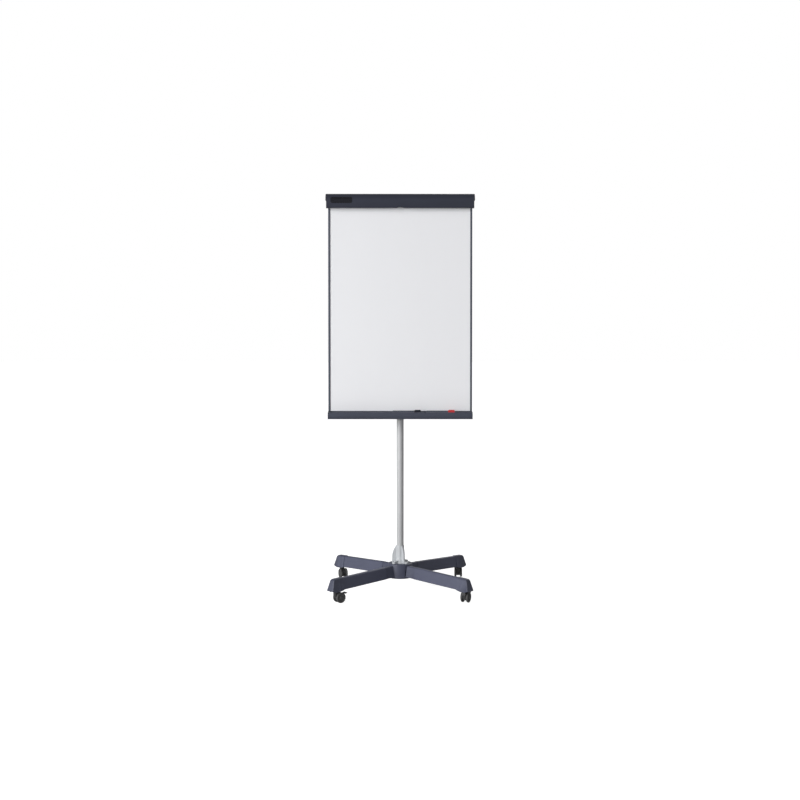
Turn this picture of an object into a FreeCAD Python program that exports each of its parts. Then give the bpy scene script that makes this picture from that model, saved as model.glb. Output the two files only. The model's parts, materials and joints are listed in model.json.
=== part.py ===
import FreeCAD, Part
import math
import os
from FreeCAD import Placement, Rotation, Vector

# Mobile flipchart easel: a white magnetic board with a paper clamp bar and a pen tray, carried by a
# telescopic pole on a four-armed base with twin-wheel casters.
# Frame: +Z up, the board faces -Y, the origin is on the floor on the pole's axis. Millimetres.

# ---------------------------------------------------------------- driving dimensions
overall_height = 1939.0      # floor to the top of the clamp bar
board_width = 700.0          # over the side rails
face_height = 984.0          # white face between tray and clamp bar
clamp_height = 70.5
tray_height = 36.5
tray_depth = 62.0            # in front of the white face
panel_thickness = 10.0
face_sheet = 0.6             # enamelled steel sheet
travel_down = 350.0          # height adjustment from the position modelled
travel_up = 50.0

pole_radius = 17.0
pole_wall = 1.5
bush_space = 1.5             # radial space between the two pole tubes
inner_wall = 1.5
collar_wall = 10.0
collar_gap = 9.0             # collar to the back of the board

wheel_diameter = 50.0
wheel_width = 9.6
caster_body_half = 9.3
caster_trail = 18.0
stem_radius = 5.0
axle_radius = 3.0

arm_reach = 465.0            # pole axis to the nose of an arm's end cap
arm_height = 56.0
arm_bottom_half = 21.0
arm_top_half = 11.0
arm_wall = 2.0
arm_slope = math.tan(math.radians(1.8))
cap_length = 73.0
cap_overlap = 18.0           # how far an end cap runs over its arm
cap_wall = 2.5
stem_inset = 40.0            # nose to the caster's stem
skirt_gap = 3.0              # wheels to the end cap's skirt
skirt_drop = 7.0             # skirt below the arm's underside
hub_radius = 60.0
stub_end = 110.0             # where the hub's stubs stop
seam = 1.2                   # groove between a stub and its arm
spigot_length = 50.0

running = 0.06               # radial clearance of what turns or slides
seat = 0.05                  # clearance of pieces that are fixed in each other
apart = 0.4                  # gap between moving pieces that only face each other

# ---------------------------------------------------------------- heights and depths that follow
tray_bottom = overall_height - clamp_height - face_height - tray_height
tray_top = tray_bottom + tray_height
clamp_bottom = tray_top + face_height
board_half = board_width / 2

inner_radius = pole_radius - pole_wall - bush_space
collar_radius = pole_radius + collar_wall
board_back = -(collar_radius + collar_gap)
face_y = board_back - panel_thickness - face_sheet

skirt_z = wheel_diameter + skirt_gap
cap_start = arm_reach - cap_length
arm_end = cap_start + cap_overlap
stem_circle = arm_reach - stem_inset


def arm_mid(r):
    """Height of an arm's centre line at distance r from the pole's axis."""
    return skirt_z + skirt_drop + arm_height / 2 + (cap_start - r) * arm_slope


hub_bottom = arm_mid(0) - 36.5
hub_top = arm_mid(0) + 33.5
hub_floor = 16.0
pole_bottom = hub_bottom + hub_floor

bracket_height = 60.0
bracket_bottom = clamp_bottom - 78.0
bush_flange = 4.0
stop_gap = 6.0
pole_top = bracket_bottom - travel_down - bush_flange - stop_gap
least_overlap = 155.0        # inner tube left in the outer one at full height
inner_bottom = pole_top - travel_up - least_overlap

arm_names = {"front_left": 225.0, "front_right": 315.0, "rear_right": 45.0, "rear_left": 135.0}
caster_turn = {"front_left": 35.0, "front_right": 65.0, "rear_right": 90.0, "rear_left": -70.0}
braked = ("front_left", "front_right")

shapes = {}


# ---------------------------------------------------------------- shape helpers
def box(x0, x1, y0, y1, z0, z1):
    return Part.makeBox(x1 - x0, y1 - y0, z1 - z0, Vector(x0, y0, z0))


def rod(radius, start, end):
    start, end = Vector(*start), Vector(*end)
    return Part.makeCylinder(radius, (end - start).Length, start, end - start)


def tube(outer, inner, start, end):
    return rod(outer, start, end).cut(rod(inner, start, end))


def fuse(*solids):
    return solids[0].multiFuse(list(solids[1:])).removeSplitter()


def grown(points, grow):
    """Moves each side of a counter-clockwise outline of (u, v, radius) corners outwards by grow."""
    moved = []
    for i, (u, v, radius) in enumerate(points):
        before, after = points[i - 1], points[(i + 1) % len(points)]
        a = Vector(u - before[0], v - before[1], 0).normalize()
        b = Vector(after[0] - u, after[1] - v, 0).normalize()
        turn = a.x * b.y - a.y * b.x
        along = (1 - a.dot(b)) / turn
        corner = Vector(u, v, 0) + Vector(a.y, -a.x, 0) * grow + a * (grow * along)
        moved.append((corner.x, corner.y, max(radius + (grow if turn > 0 else -grow), 0)))
    return moved


def face(points, place, grow=0.0):
    """A flat face inside an outline of (u, v, radius) corners; place turns (u, v) into a point."""
    edges = []
    corners = []
    points = grown(points, grow)
    for i, (u, v, radius) in enumerate(points):
        p = Vector(u, v, 0)
        a = (p - Vector(*points[i - 1][:2], 0)).normalize()
        b = (Vector(*points[(i + 1) % len(points)][:2], 0) - p).normalize()
        half_turn = a.getAngle(b) / 2
        reach = radius * math.tan(half_turn)
        middle = p + (b - a).normalize() * radius * (1 / math.cos(half_turn) - 1)
        corners.append((p - a * reach, middle, p + b * reach, radius > 0))
    for i, (start, middle, end, rounded) in enumerate(corners):
        if rounded:
            edges.append(Part.Arc(*(place(q.x, q.y) for q in (start, middle, end))).toShape())
        following = corners[(i + 1) % len(corners)][0]
        if (following - end).Length > 1e-4:
            edges.append(Part.makeLine(place(end.x, end.y), place(following.x, following.y)))
    return Part.Face(Part.Wire(edges))


def along_x(points, x0, x1, grow=0.0):
    """A bar along X whose section is an outline in Y and Z."""
    return face(points, lambda u, v: Vector(x0, u, v), grow).extrude(Vector(x1 - x0, 0, 0))


def across_y(points, half, grow=0.0):
    """A plate from -half to half across Y whose outline is in X and Z."""
    return face(points, lambda u, v: Vector(u, -half, v), grow).extrude(Vector(0, 2 * half, 0))


def turned(points, axis_point, axis):
    """A body of revolution; points are (radius, height) along the axis, straight sides."""
    axis = Vector(*axis)
    side = Vector(0, 0, 1).cross(axis) if abs(axis.z) < 0.5 else Vector(1, 0, 0)
    origin = Vector(*axis_point)
    ring = [origin + side * r + axis * h for r, h in points]
    return Part.Face(Part.makePolygon(ring + ring[:1])).revolve(origin, axis, 360)


def edges_where(shape, test):
    return [e for e in shape.Edges if test(e.CenterOfMass)]


def turn_z(shape, degrees, x=0.0, y=0.0):
    """A copy turned about the Z axis and then moved to x, y."""
    copy = shape.copy()
    copy.Placement = Placement(Vector(x, y, 0), Rotation(Vector(0, 0, 1), degrees))
    return Part.Solid(copy) if copy.ShapeType == "Shell" else copy


def pan_screw(at, into, radius, length, head_radius, head_height):
    """A pan-head screw: its head stands at the point and its shank runs into the work."""
    at, into = Vector(*at), Vector(*into)
    head = rod(head_radius, at - into * head_height, at)
    return fuse(head, rod(radius, at, at + into * length))


def keep(name, *solids):
    shapes[name] = solids[0] if len(solids) == 1 else Part.makeCompound(list(solids))


# ---------------------------------------------------------------- base: hub, arms, end caps
arm_section = [
    (-arm_bottom_half, -arm_height / 2, 3.0),
    (arm_bottom_half, -arm_height / 2, 3.0),
    (arm_top_half, arm_height / 2, 9.0),
    (-arm_top_half, arm_height / 2, 9.0),
]
side_lean = (arm_bottom_half - arm_top_half) / arm_height
skirt_reach = 14.0           # how far the cap's section runs down below the arm's
cap_section = [
    (-arm_bottom_half - skirt_reach * side_lean, -arm_height / 2 - skirt_reach, 0.0),
    (arm_bottom_half + skirt_reach * side_lean, -arm_height / 2 - skirt_reach, 0.0),
    (arm_top_half, arm_height / 2, 9.0),
    (-arm_top_half, arm_height / 2, 9.0),
]
cap_proud = 2.0
arm_screw_radius = 3.0
arm_screw_head = 5.5
arm_screw_places = (stub_end + 15.0, stub_end + 36.0)


def arm_prism(section, r0, r1, grow):
    """The section run along an arm pointing to +X; its cuts stay upright while it slopes."""
    start = face(section, lambda u, v: Vector(r0, u, arm_mid(r0) + v), grow)
    return start.extrude(Vector(r1 - r0, 0, arm_mid(r1) - arm_mid(r0)))


def arm_screw_spots():
    """Where the screws' heads bear on an arm's underside, along +X."""
    return [(r, 0, arm_mid(r + arm_screw_head) - arm_height / 2) for r in arm_screw_places]


def make_hub():
    column = rod(hub_radius, (0, 0, hub_bottom), (0, 0, hub_top))
    rims = edges_where(column, lambda c: abs(c.z - hub_top) < 0.01)
    column = column.makeFillet(5.0, rims)
    stub_shrink = -1.0
    spigot_shrink = -(arm_wall + 4 * seat)
    pocket_half = 10.0
    pocket_wall = 8.0
    limbs = []
    pockets = []
    for angle in arm_names.values():
        stub = arm_prism(arm_section, 0, stub_end, stub_shrink)
        spigot = arm_prism(arm_section, stub_end - 5, stub_end + spigot_length, spigot_shrink)
        pocket = box(hub_radius + pocket_wall, stub_end - pocket_wall, -pocket_half, pocket_half,
                     0, arm_mid(0) + 8)
        holes = [rod(arm_screw_radius + seat, (x, 0, z - 5), (x, 0, z + 22))
                 for x, _, z in arm_screw_spots()]
        limbs.append(turn_z(fuse(stub, spigot).cut(Part.makeCompound(holes)), angle))
        pockets.append(turn_z(pocket, angle))
    body = fuse(column, *limbs).cut(Part.makeCompound(pockets))
    body = body.cut(rod(pole_radius + seat, (0, 0, pole_bottom), (0, 0, hub_top + 1)))
    body = body.cut(rod(bolt_radius + seat, (0, 0, hub_bottom - 1), (0, 0, pole_bottom + 1)))
    for angle in arm_names.values():
        r = boot_screw_circle
        hole = rod(boot_screw_radius + seat, (r, 0, arm_mid(r)), (r, 0, hub_top + 1))
        body = body.cut(turn_z(hole, angle))
    return body


def make_arm():
    outer = arm_prism(arm_section, stub_end + seam, arm_end, 0)
    inner = arm_prism(arm_section, stub_end - 1, arm_end + 1, -arm_wall)
    holes = [rod(arm_screw_radius + seat, (x, 0, z - 1), (x, 0, z + arm_wall + 1))
             for x, _, z in arm_screw_spots()]
    return outer.cut(inner).cut(Part.makeCompound(holes))


nose_lean = 16.0
nose_rise = 7.0              # how far the skirt rises towards the nose
nose_rise_length = 22.0
nose_radius = 18.0
boss_radius = 11.0
boss_bottom = skirt_z + 4.0
socket_radius = 7.5
socket_top = boss_bottom + 41.0


def make_end_cap():
    roof = arm_mid(cap_start) + arm_height / 2 + cap_proud
    roof_end = roof - cap_length * arm_slope
    belly = arm_mid(cap_start) - arm_height / 2 - cap_proud
    profile = [
        (cap_start, belly, 0.0),
        (cap_start + 26, skirt_z, 12.0),
        (arm_reach - nose_rise_length, skirt_z, 12.0),
        (arm_reach, skirt_z + nose_rise, 3.0),
        (arm_reach - nose_lean, roof_end, nose_radius),
        (cap_start, roof, 0.0),
    ]
    outer = arm_prism(cap_section, cap_start - 5, arm_reach + 5, cap_proud)
    outer = outer.common(across_y(profile, 2 * arm_bottom_half))
    nose = edges_where(outer, lambda c: c.x > arm_reach - nose_lean and c.z > skirt_z + 4
                       and abs(c.y) > arm_top_half / 2)
    outer = outer.makeFillet(4.0, nose)
    nose_foot = skirt_z + nose_rise
    hollow_profile = [
        (arm_end + 2 - cap_wall, 0.0, 0.0),
        (arm_reach + nose_foot * nose_lean / (roof_end - nose_foot), 0.0, 0.0),
        (arm_reach - nose_lean, roof_end, nose_radius),
        (arm_end + 2 - cap_wall, roof - (arm_end - cap_start) * arm_slope, 0.0),
    ]
    hollow = arm_prism(cap_section, arm_end, arm_reach + 5, cap_proud - cap_wall)
    below = box(arm_end, arm_reach, -arm_bottom_half, arm_bottom_half, 0, skirt_z + 2)
    hollow = fuse(hollow, below).common(across_y(hollow_profile, 2 * arm_bottom_half, -cap_wall))
    boss = rod(boss_radius, (stem_circle, 0, boss_bottom), (stem_circle, 0, roof))
    rib = box(arm_end + 1, arm_reach - 2, -1.25, 1.25, boss_bottom, roof)
    cross_rib = box(stem_circle - 1.25, stem_circle + 1.25, -arm_bottom_half, arm_bottom_half,
                    boss_bottom, roof)
    inside = fuse(boss, rib, cross_rib).common(hollow)
    sleeve = arm_prism(arm_section, cap_start - 1, arm_end, seat)
    body = fuse(outer.cut(hollow), inside).cut(sleeve)
    bore = rod(socket_radius + seat, (stem_circle, 0, 0), (stem_circle, 0, socket_top + 1))
    groove = arm_prism(cap_section, arm_end + 1, arm_end + 2.4, cap_proud + 5).cut(
        arm_prism(cap_section, arm_end, arm_end + 3, cap_proud - 0.7))
    return body.cut(bore).cut(groove)


def make_socket():
    """Bush that is pressed into an end cap and carries the caster's stem."""
    bore = stem_radius + running
    flange_thickness = 1.5
    sleeve = tube(socket_radius, bore, (0, 0, boss_bottom), (0, 0, socket_top))
    flange = tube(socket_radius + 2.5, bore, (0, 0, boss_bottom - flange_thickness),
                  (0, 0, boss_bottom))
    return fuse(sleeve, flange)


# ---------------------------------------------------------------- boot, pole and its fixings
boot_height = 86.0
boot_wall = 2.2
gusset_reach = 41.0          # pole axis to a gusset's outer edge
gusset_half = 3.5
gusset_upright = 24.0        # straight foot of a gusset's outer edge
gusset_angles = (180.0, 60.0, -60.0)
ear_reach = 51.0
ear_half = 9.0
ear_top = 12.0
boot_screw_circle = ear_reach - ear_half
boot_screw_radius = 2.5
boot_screw_head = 4.6
boot_screw_seat = hub_top + 5.0
bolt_radius = 5.0
plug_height = 30.0


def make_gusset():
    """Upright rib of the boot towards +X, with an arched outer edge."""
    points = [(pole_radius + boot_wall / 2, 0), (gusset_reach, 0),
              (gusset_reach - 1.5, gusset_upright), (gusset_reach - 6, 2 / 3 * boot_height),
              (pole_radius + boot_wall, boot_height - 1), (pole_radius + boot_wall / 2, boot_height - 1)]
    p = [Vector(r, -gusset_half, hub_top + h) for r, h in points]
    edges = [Part.makeLine(p[0], p[1]), Part.makeLine(p[1], p[2]), Part.Arc(p[2], p[3], p[4]).toShape(),
             Part.makeLine(p[4], p[5]), Part.makeLine(p[5], p[0])]
    return Part.Face(Part.Wire(edges)).extrude(Vector(0, 2 * gusset_half, 0))


def make_boot():
    """Sleeve round the pole's foot with three gussets and four screw ears."""
    z0 = hub_top
    bore = pole_radius + seat
    sleeve = rod(pole_radius + boot_wall, (0, 0, z0), (0, 0, z0 + boot_height))
    collar = Part.makeCone(pole_radius + 13, pole_radius + boot_wall, ear_top + 6, Vector(0, 0, z0))
    lobes = [fuse(box(0, boot_screw_circle, -ear_half, ear_half, z0, z0 + ear_top),
                  rod(ear_half, (boot_screw_circle, 0, z0), (boot_screw_circle, 0, z0 + ear_top)))
             for _ in arm_names]
    ears = [turn_z(lobe, angle) for lobe, angle in zip(lobes, arm_names.values())]
    slope = Part.makeCone(ear_reach + 30, boot_screw_circle - ear_half, ear_top, Vector(0, 0, z0))
    gussets = [turn_z(make_gusset(), angle) for angle in gusset_angles]
    body = fuse(sleeve, collar, fuse(*ears).common(slope), *gussets)
    body = body.cut(rod(bore, (0, 0, z0 - 1), (0, 0, z0 + boot_height + 1)))
    for angle in arm_names.values():
        r = boot_screw_circle
        hole = fuse(rod(boot_screw_radius + seat, (r, 0, z0 - 1), (r, 0, z0 + ear_top)),
                    rod(boot_screw_head + 0.5, (r, 0, boot_screw_seat), (r, 0, z0 + ear_top)))
        body = body.cut(turn_z(hole, angle))
    return body


def make_base_screws():
    screws = []
    for angle in arm_names.values():
        for spot in arm_screw_spots():
            screws.append(turn_z(pan_screw(spot, (0, 0, 1), arm_screw_radius, 18,
                                           arm_screw_head, 3), angle))
        at = (boot_screw_circle, 0, boot_screw_seat)
        screws.append(turn_z(pan_screw(at, (0, 0, -1), boot_screw_radius, 20,
                                       boot_screw_head, 3), angle))
    return screws


def make_pole_tube():
    pole = tube(pole_radius, pole_radius - pole_wall, (0, 0, pole_bottom), (0, 0, pole_top))
    return pole.cut(rod(clamp_screw_radius + seat, (0, 0, knob_z), (0, 2 * pole_radius, knob_z)))


def make_foot_plug():
    return tube(pole_radius - pole_wall - seat, bolt_radius + seat,
                (0, 0, pole_bottom), (0, 0, pole_bottom + plug_height))


def make_pole_bolt():
    """Hexagon bolt and washer that hold the pole down on the hub."""
    washer_top = hub_bottom
    washer = tube(14.0, bolt_radius + seat, (0, 0, washer_top - 2), (0, 0, washer_top))
    head_top = washer_top - 2
    hexagon = [Vector(8.5 * math.cos(a), 8.5 * math.sin(a), head_top - 6.5)
               for a in (math.pi / 3 * k for k in range(6))]
    head = Part.Face(Part.makePolygon(hexagon + hexagon[:1])).extrude(Vector(0, 0, 6.5))
    shank = rod(bolt_radius, (0, 0, head_top), (0, 0, pole_bottom + plug_height - 4))
    return washer, fuse(head, shank)


# ---------------------------------------------------------------- height clamp
bush_length = 60.0
collar_height = 56.0
collar_top = pole_top - 2.0
knob_z = collar_top - collar_height / 2
clamp_screw_radius = 4.0
boss_y = collar_radius + 9.0
knob_radius = 23.0
knob_depth = 20.0


def make_guide_bush():
    bore = inner_radius + running
    sleeve = tube(pole_radius - pole_wall - seat, bore, (0, 0, pole_top - bush_length),
                  (0, 0, pole_top))
    flange = tube(pole_radius + 2, bore, (0, 0, pole_top), (0, 0, pole_top + bush_flange))
    hole = rod(clamp_screw_radius + seat, (0, 0, knob_z), (0, 2 * pole_radius, knob_z))
    return fuse(sleeve, flange).cut(hole)


def make_collar():
    body = rod(collar_radius, (0, 0, collar_top - collar_height), (0, 0, collar_top))
    body = body.makeFillet(3.0, [e for e in body.Edges if e.Length > 3 * collar_radius])
    boss = rod(13.0, (0, 0, knob_z), (0, boss_y, knob_z))
    body = fuse(body, boss)
    body = body.cut(rod(pole_radius + seat, (0, 0, collar_top - collar_height - 1),
                        (0, 0, collar_top + 1)))
    return body.cut(rod(clamp_screw_radius + running, (0, 0, knob_z), (0, boss_y + 1, knob_z)))


def make_knob():
    """Six-lobed grip knob behind the board."""
    y0 = boss_y + 1.0
    lobes = [rod(7.5, (0, y0, 0), (0, y0 + knob_depth, 0)) for _ in range(6)]
    for k, lobe in enumerate(lobes):
        angle = math.pi / 3 * k
        lobe.translate(Vector(math.cos(angle), 0, math.sin(angle)) * (knob_radius - 7.5)
                       + Vector(0, 0, knob_z))
    core = rod(knob_radius - 5.5, (0, y0, knob_z), (0, y0 + knob_depth, knob_z))
    body = fuse(core, *lobes)
    rims = [e for e in body.Edges if abs(e.CenterOfMass.y - (y0 + knob_depth)) < 0.01]
    body = body.makeFillet(2.5, rims)
    return body.cut(rod(clamp_screw_radius + seat, (0, y0 - 1, knob_z), (0, y0 + 14, knob_z)))


def make_clamp_screw():
    return rod(clamp_screw_radius, (0, inner_radius + 0.15, knob_z), (0, boss_y + 14.5, knob_z))


# ---------------------------------------------------------------- casters, pointing to +X
caster_top = skirt_z - 1.0
axle_z = wheel_diameter / 2
wheel_in = caster_body_half + 0.6
wheel_out = wheel_in + wheel_width
axle_half = wheel_out - 1.5
stem_top = socket_top - 2.0
lever_pivot = (caster_trail + 15.0, axle_z + 15.0)
lever_half = 4.0
lever_pin_radius = 1.5


def make_caster_housing(brake):
    body_radius = axle_z - 9.5
    low = axle_z - body_radius
    profile = [
        (-10.5, caster_top - 16, 9.0),
        (caster_trail - 13, low, 13.0),
        (caster_trail + 11, low, 13.0),
        (caster_trail + 18, caster_top - 13, 7.0),
        (14.0, caster_top, 8.0),
        (-10.5, caster_top, 2.0),
    ]
    body = across_y(profile, caster_body_half)
    rims = [e for e in body.Edges if abs(abs(e.CenterOfMass.y) - caster_body_half) < 0.01]
    body = body.makeChamfer(0.8, rims)
    body = body.cut(rod(stem_radius + seat, (0, 0, stem_foot), (0, 0, caster_top + 1)))
    body = body.cut(rod(axle_radius + seat, (caster_trail, -20, axle_z), (caster_trail, 20, axle_z)))
    if brake:
        px, pz = lever_pivot
        room = lever_half + apart
        body = body.cut(box(px - 5.5, px + 20, -room, room, pz - 8.5, pz + 20))
        pin = lever_pin_radius + seat
        body = body.cut(rod(pin, (px, -caster_body_half - 1, pz), (px, caster_body_half + 1, pz)))
    return body


stem_foot = caster_top - 14.0


def make_caster_pins(brake):
    """The swivel stem, the wheels' axle and, on a braked caster, the lever's pin."""
    shoulder = rod(stem_radius + 3, (0, 0, caster_top), (0, 0, boss_bottom - 1.9))
    stem = fuse(rod(stem_radius, (0, 0, stem_foot), (0, 0, stem_top)), shoulder)
    axle = rod(axle_radius, (caster_trail, -axle_half, axle_z), (caster_trail, axle_half, axle_z))
    pins = [stem, axle]
    if brake:
        px, pz = lever_pivot
        half = caster_body_half - 0.5
        pins.append(rod(lever_pin_radius, (px, -half, pz), (px, half, pz)))
    return pins


def make_wheel(side):
    """One wheel on the +Y (side 1) or -Y (side -1) end of the axle."""
    r = wheel_diameter / 2
    bore = axle_radius + running
    w0, w1 = wheel_in, wheel_out
    section = [
        (0, axle_half + 0.3), (bore, axle_half + 0.3), (bore, w0), (7.5, w0), (8.5, w0 + 6),
        (r - 7, w0 + 6), (r - 5.5, w0), (r - 2, w0), (r - 0.5, w0 + 1.2), (r, w0 + 3),
        (r, w1 - 4), (r - 0.7, w1 - 2), (r - 2.5, w1 - 0.6), (r - 5, w1), (r - 6, w1 - 1.3),
        (7.5, w1 - 0.6), (6.5, w1), (0, w1),
    ]
    return turned(section, (caster_trail, 0, axle_z), (0, side, 0))


def make_brake_lever():
    px, pz = lever_pivot
    reach = caster_trail + wheel_diameter / 2 + 9.0
    tongue = across_y([(px - 3.9, pz - 3.9, 3.5), (px + 3.9, pz - 3.9, 3.0),
                       (reach - 6, pz + 0.5, 1.0), (reach - 6, pz + 3.7, 1.0),
                       (px - 3.9, pz + 3.9, 3.5)], lever_half)
    pedal_half = wheel_out - 6.0
    pedal = across_y([(reach - 8.5, pz + 0.2, 1.0), (reach + 3, pz + 2.5, 1.0),
                      (reach + 3, pz + 5.6, 1.0), (reach - 8.5, pz + 3.9, 1.0)], pedal_half)
    body = fuse(tongue, pedal)
    pin = lever_pin_radius + running
    return body.cut(rod(pin, (px, -20, pz), (px, 20, pz)))


def place_caster(shape, name):
    """Turns a caster piece to its swivel angle and moves it under its arm."""
    at = math.radians(arm_names[name])
    return turn_z(shape, caster_turn[name], stem_circle * math.cos(at), stem_circle * math.sin(at))


# ---------------------------------------------------------------- board, rails and brackets
rail_width = 10.0
rail_wall = 2.0
slot_gap = 0.1
panel_half = board_half - rail_wall - slot_gap
panel_bottom = tray_bottom + 9.0
clamp_rail_drop = 54.0
clamp_rail_bottom = overall_height - clamp_rail_drop
panel_top = overall_height - 19.0
rail_foot = tray_top - 6.0


def make_panel():
    return box(-panel_half, panel_half, board_back - panel_thickness, board_back,
               panel_bottom, panel_top)


def make_face():
    return box(-panel_half, panel_half, face_y, board_back - panel_thickness,
               panel_bottom, panel_top)


def make_side_rail(side):
    """U-shaped edge profile; side is 1 on the right and -1 on the left."""
    lip = rail_wall
    section = [
        (board_half - rail_width, face_y - slot_gap - lip),
        (board_half, face_y - slot_gap - lip),
        (board_half, board_back + slot_gap + lip),
        (board_half - rail_width, board_back + slot_gap + lip),
    ]
    wire = Part.makePolygon([Vector(x, y, rail_foot) for x, y in section + section[:1]])
    length = clamp_rail_bottom - 0.5 - rail_foot
    bar = Part.Face(wire).extrude(Vector(0, 0, length))
    outer = [e for e in bar.Edges if e.Length > length - 1 and e.CenterOfMass.x > board_half - 1]
    bar = bar.makeFillet(1.8, outer)
    bar = bar.cut(box(board_half - rail_width - 1, board_half - rail_wall, face_y - slot_gap,
                      board_back + slot_gap, rail_foot - 1, rail_foot + length + 1))
    if side < 0:
        bar = bar.mirror(Vector(0, 0, 0), Vector(1, 0, 0))
    return bar


plate_half = 55.0
plate_thickness = 4.0
plate_screw_x = 42.0
guide_bottom = tray_top + 20.0
guide_height = 60.0


def screw_rows(bottom, height):
    return [(x, z) for x in (-plate_screw_x, plate_screw_x) for z in (bottom + 12, bottom + height - 12)]


def make_bracket(bottom, height, bore, closed_above):
    """Plate on the board's back with a block around one of the pole's tubes."""
    plate_back = board_back + plate_thickness
    outer = bore + 8.0
    plate = box(-plate_half, plate_half, board_back, plate_back, bottom, bottom + height)
    corners = [e for e in plate.Edges if abs(e.Length - plate_thickness) < 0.01]
    plate = plate.makeFillet(6.0, corners)
    web = box(-outer + 4, outer - 4, board_back + 1, 0, bottom + 4, bottom + height - 4)
    ring = rod(outer, (0, 0, bottom + 4), (0, 0, bottom + height - 4))
    rims = [e for e in ring.Edges if e.Length > 3 * outer]
    ring = ring.makeFillet(2.0, rims)
    body = fuse(plate, web, ring)
    top = bottom + height - 8 if closed_above else bottom + height
    body = body.cut(rod(bore, (0, 0, bottom), (0, 0, top)))
    holes = [rod(2.5 + seat, (x, board_back - 1, z), (x, plate_back + 1, z))
             for x, z in screw_rows(bottom, height)]
    return body.cut(Part.makeCompound(holes))


def make_bracket_screws():
    plate_back = board_back + plate_thickness
    spots = screw_rows(bracket_bottom, bracket_height) + screw_rows(guide_bottom, guide_height)
    return [pan_screw((x, plate_back, z), (0, -1, 0), 2.5, 11.0, 4.8, 2.6) for x, z in spots]


def drill_panel(panel):
    spots = screw_rows(bracket_bottom, bracket_height) + screw_rows(guide_bottom, guide_height)
    holes = [rod(2.5 + seat, (x, board_back + 1, z), (x, board_back - 8, z)) for x, z in spots]
    return panel.cut(Part.makeCompound(holes))


def make_inner_tube():
    top = bracket_bottom + bracket_height - 8 - seat
    return tube(inner_radius, inner_radius - inner_wall, (0, 0, inner_bottom), (0, 0, top))


# ---------------------------------------------------------------- clamp rail, clamp bar, pegs
hinge_y = board_back - panel_thickness / 2 - face_sheet
hinge_z = overall_height - 10.5
pin_radius = 2.5
barrel_radius = 4.5
barrel_half = board_half - 30.0
front_leg = 6.0
peg_z = clamp_bottom + 36.0
peg_radius = 3.5
peg_length = 12.0
peg_place = 140.0
bar_half = board_half + 6.0
bar_wall = 2.5
bar_depth = 33.0
bar_cap_thin = 2.0
bar_cap_thick = 5.5
step_up = 35.5               # where the end caps become thicker
badge_thickness = 0.7
badge_start = 13.0           # from the rail's left end
badge_length = 105.0
badge_half = 15.0
notch_half = 18.0            # finger notch in the bar's lower edge
notch_height = 5.0
lip_gap = 4.0                # bar's lip to the white face
lip_height = 12.0


def make_clamp_rail():
    top = panel_top + 0.2
    back = board_back + slot_gap + bar_wall
    front = face_y - slot_gap - front_leg
    block = box(-board_half, board_half, front, back, clamp_rail_bottom, top + bar_wall)
    slot = box(-board_half - 1, board_half + 1, face_y - slot_gap, board_back + slot_gap,
               clamp_rail_bottom - 1, top)
    neck = box(-barrel_half, barrel_half, hinge_y - 2.2, hinge_y + 2.2, top, hinge_z)
    barrel = rod(barrel_radius, (-barrel_half, hinge_y, hinge_z), (barrel_half, hinge_y, hinge_z))
    t_mouth = box(-board_half + 5, board_half - 5, front - 1, front + 3, peg_z - 2.5, peg_z + 2.5)
    t_head = box(-board_half + 5, board_half - 5, front + 2.2, front + 4.8, peg_z - 5.5, peg_z + 5.5)
    body = fuse(block.cut(slot), neck, barrel).cut(fuse(t_mouth, t_head))
    return body.cut(rod(pin_radius + 0.02, (-board_half, hinge_y, hinge_z),
                        (board_half, hinge_y, hinge_z)))


def bar_outline(rear):
    """The clamp bar's outside, with its open back moved rearwards by rear."""
    return [
        (face_y - 29, clamp_bottom, 8.0),
        (face_y - lip_gap + rear, clamp_bottom, 0.0),
        (face_y - lip_gap + rear, clamp_bottom + lip_height, 0.0),
        (hinge_y + 2 + rear, overall_height, 0.0),
        (face_y - 12, overall_height, 30.0),
        (face_y - bar_depth, clamp_bottom + 45, 40.0),
    ]


def make_clamp_bar():
    shell = along_x(bar_outline(0), -bar_half, bar_half)
    shell = shell.cut(along_x(bar_outline(40), -bar_half - 1, bar_half + 1, -bar_wall))
    lip = box(-bar_half, bar_half, face_y - lip_gap - bar_wall, face_y - lip_gap, clamp_bottom,
              clamp_bottom + lip_height)
    body = fuse(shell, lip)
    notch_radius = (notch_half ** 2 + notch_height ** 2) / (2 * notch_height)
    notch_z = clamp_bottom + notch_height - notch_radius
    return body.cut(rod(notch_radius, (0, face_y - 60, notch_z), (0, face_y, notch_z)))


def make_badge():
    """Blank plate that follows the front of the clamp bar near its left end."""
    x0 = badge_start - board_half
    x1 = x0 + badge_length
    plate = along_x(bar_outline(0), x0, x1, badge_thickness)
    plate = plate.cut(along_x(bar_outline(0), x0 - 1, x1 + 1))
    middle = clamp_bottom + 38
    depth = 48.0
    frame = box(x0, x1, face_y - 12 - depth, face_y - 12, middle - badge_half, middle + badge_half)
    corners = [e for e in frame.Edges if abs(e.Length - depth) < 0.01]
    return plate.common(frame.makeFillet(8.0, corners))


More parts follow.
